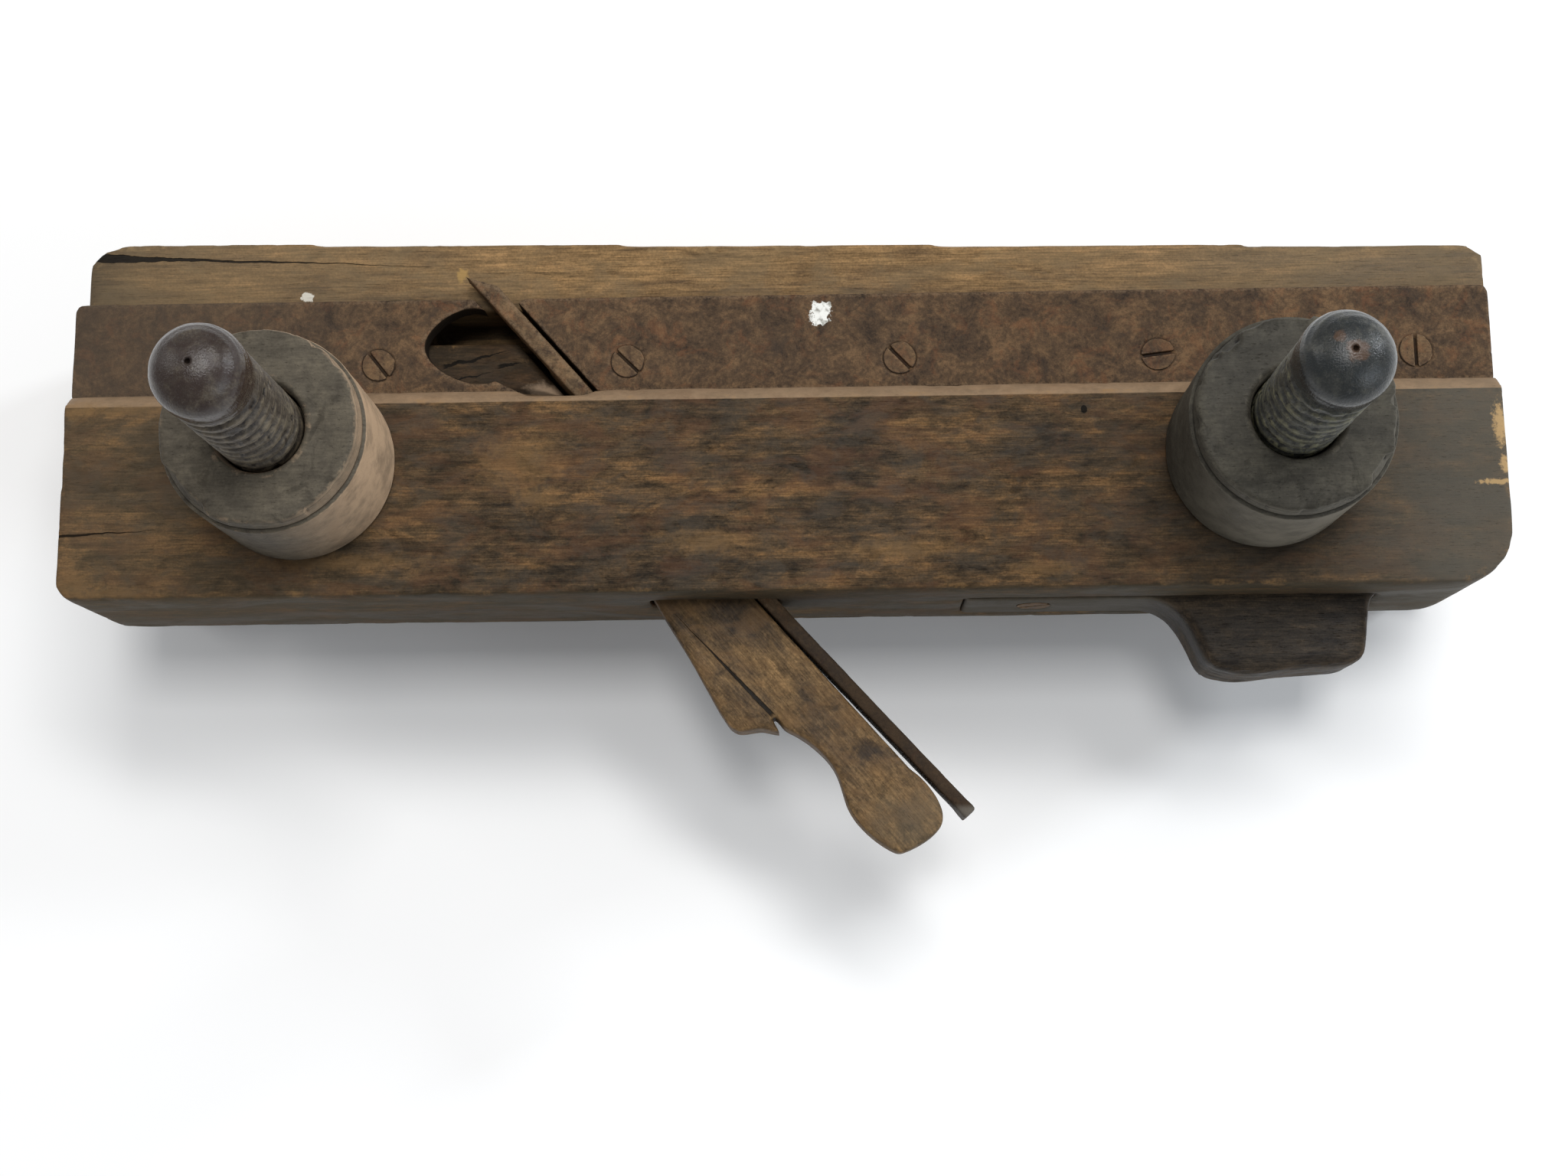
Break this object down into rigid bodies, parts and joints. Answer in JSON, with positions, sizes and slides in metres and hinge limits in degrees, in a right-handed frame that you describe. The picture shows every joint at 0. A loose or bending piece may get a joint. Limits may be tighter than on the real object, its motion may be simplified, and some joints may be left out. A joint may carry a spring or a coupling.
{
  "type": "screw-arm grooving plane",
  "caption": "Wooden handled grooving plane with a screw-arm fence, steel skate, wedged iron and broken handle, lying on its fence.",
  "frame": {"origin": "on the floor under the middle of the stock, on the arm axes' plane", "axes": "+X from toe to heel, +Y towards the sole, +Z along the arms from the fence to the right side of the stock"},
  "size_m": [0.2808, 0.1246, 0.1344],
  "materials": {
    "stock_wood": "aged oiled beech, worn",
    "fence_wood": "aged beech, worn",
    "arm_wood": "dark polished boxwood or beech",
    "grey_nut_wood": "grey worn",
    "dark_nut_wood": "dark worn",
    "skate_steel": "rusty brown",
    "screw_steel": "rusty brown",
    "iron_steel": "rusty forged",
    "wedge_wood": "aged beech",
    "handle_wood": "very dark, broken"
  },
  "bodies": {
    "fence": {"fence": "fence_wood", "toe_arm": "arm_wood", "heel_arm": "arm_wood"},
    "stock": {"stock": "stock_wood", "front_skate": "skate_steel", "rear_skate": "skate_steel", "skate_screw_1": "screw_steel", "skate_screw_2": "screw_steel", "skate_screw_3": "screw_steel", "skate_screw_4": "screw_steel", "skate_screw_5": "screw_steel", "skate_screw_6": "screw_steel", "handle": "handle_wood", "handle_screw": "screw_steel"},
    "iron": {"iron": "iron_steel"},
    "wedge": {"wedge": "wedge_wood"},
    "toe_outer_nut": {"toe_outer_nut": "grey_nut_wood"},
    "heel_outer_nut": {"heel_outer_nut": "dark_nut_wood"},
    "toe_inner_nut": {"toe_inner_nut": "grey_nut_wood"},
    "heel_inner_nut": {"heel_inner_nut": "dark_nut_wood"}
  },
  "joints": [
    {"name": "stock_slide", "type": "slide", "parent": "fence", "child": "stock", "axis": [0, 0, 1], "range_m": [0, 0.028]},
    {"name": "toe_outer_nut_turn", "type": "hinge", "parent": "stock", "child": "toe_outer_nut", "pos_m": [-0.0925, 0, 0.079], "axis": [0, 0, 1], "range_deg": [0, 2802]},
    {"name": "heel_outer_nut_turn", "type": "hinge", "parent": "stock", "child": "heel_outer_nut", "pos_m": [0.0925, 0, 0.079], "axis": [0, 0, 1], "range_deg": [0, 2802]},
    {"name": "toe_inner_nut_turn", "type": "hinge", "parent": "stock", "child": "toe_inner_nut", "pos_m": [-0.0925, 0, 0.025], "axis": [0, 0, 1], "range_deg": [0, 2802]},
    {"name": "heel_inner_nut_turn", "type": "hinge", "parent": "stock", "child": "heel_inner_nut", "pos_m": [0.0925, 0, 0.025], "axis": [0, 0, 1], "range_deg": [0, 2802]},
    {"name": "iron_slide", "type": "slide", "parent": "stock", "child": "iron", "axis": [0.6561, -0.7547, 0], "range_m": [-0.002, 0.008]},
    {"name": "wedge_slide", "type": "slide", "parent": "stock", "child": "wedge", "axis": [0.6561, -0.7547, 0], "range_m": [0, 0.03]}
  ],
  "couplings": [
    {"joint": "toe_outer_nut_turn", "follows": "stock_slide", "rad_per_m": 1745.3},
    {"joint": "heel_outer_nut_turn", "follows": "stock_slide", "rad_per_m": 1745.3},
    {"joint": "toe_inner_nut_turn", "follows": "stock_slide", "rad_per_m": 1745.3},
    {"joint": "heel_inner_nut_turn", "follows": "stock_slide", "rad_per_m": 1745.3}
  ]
}
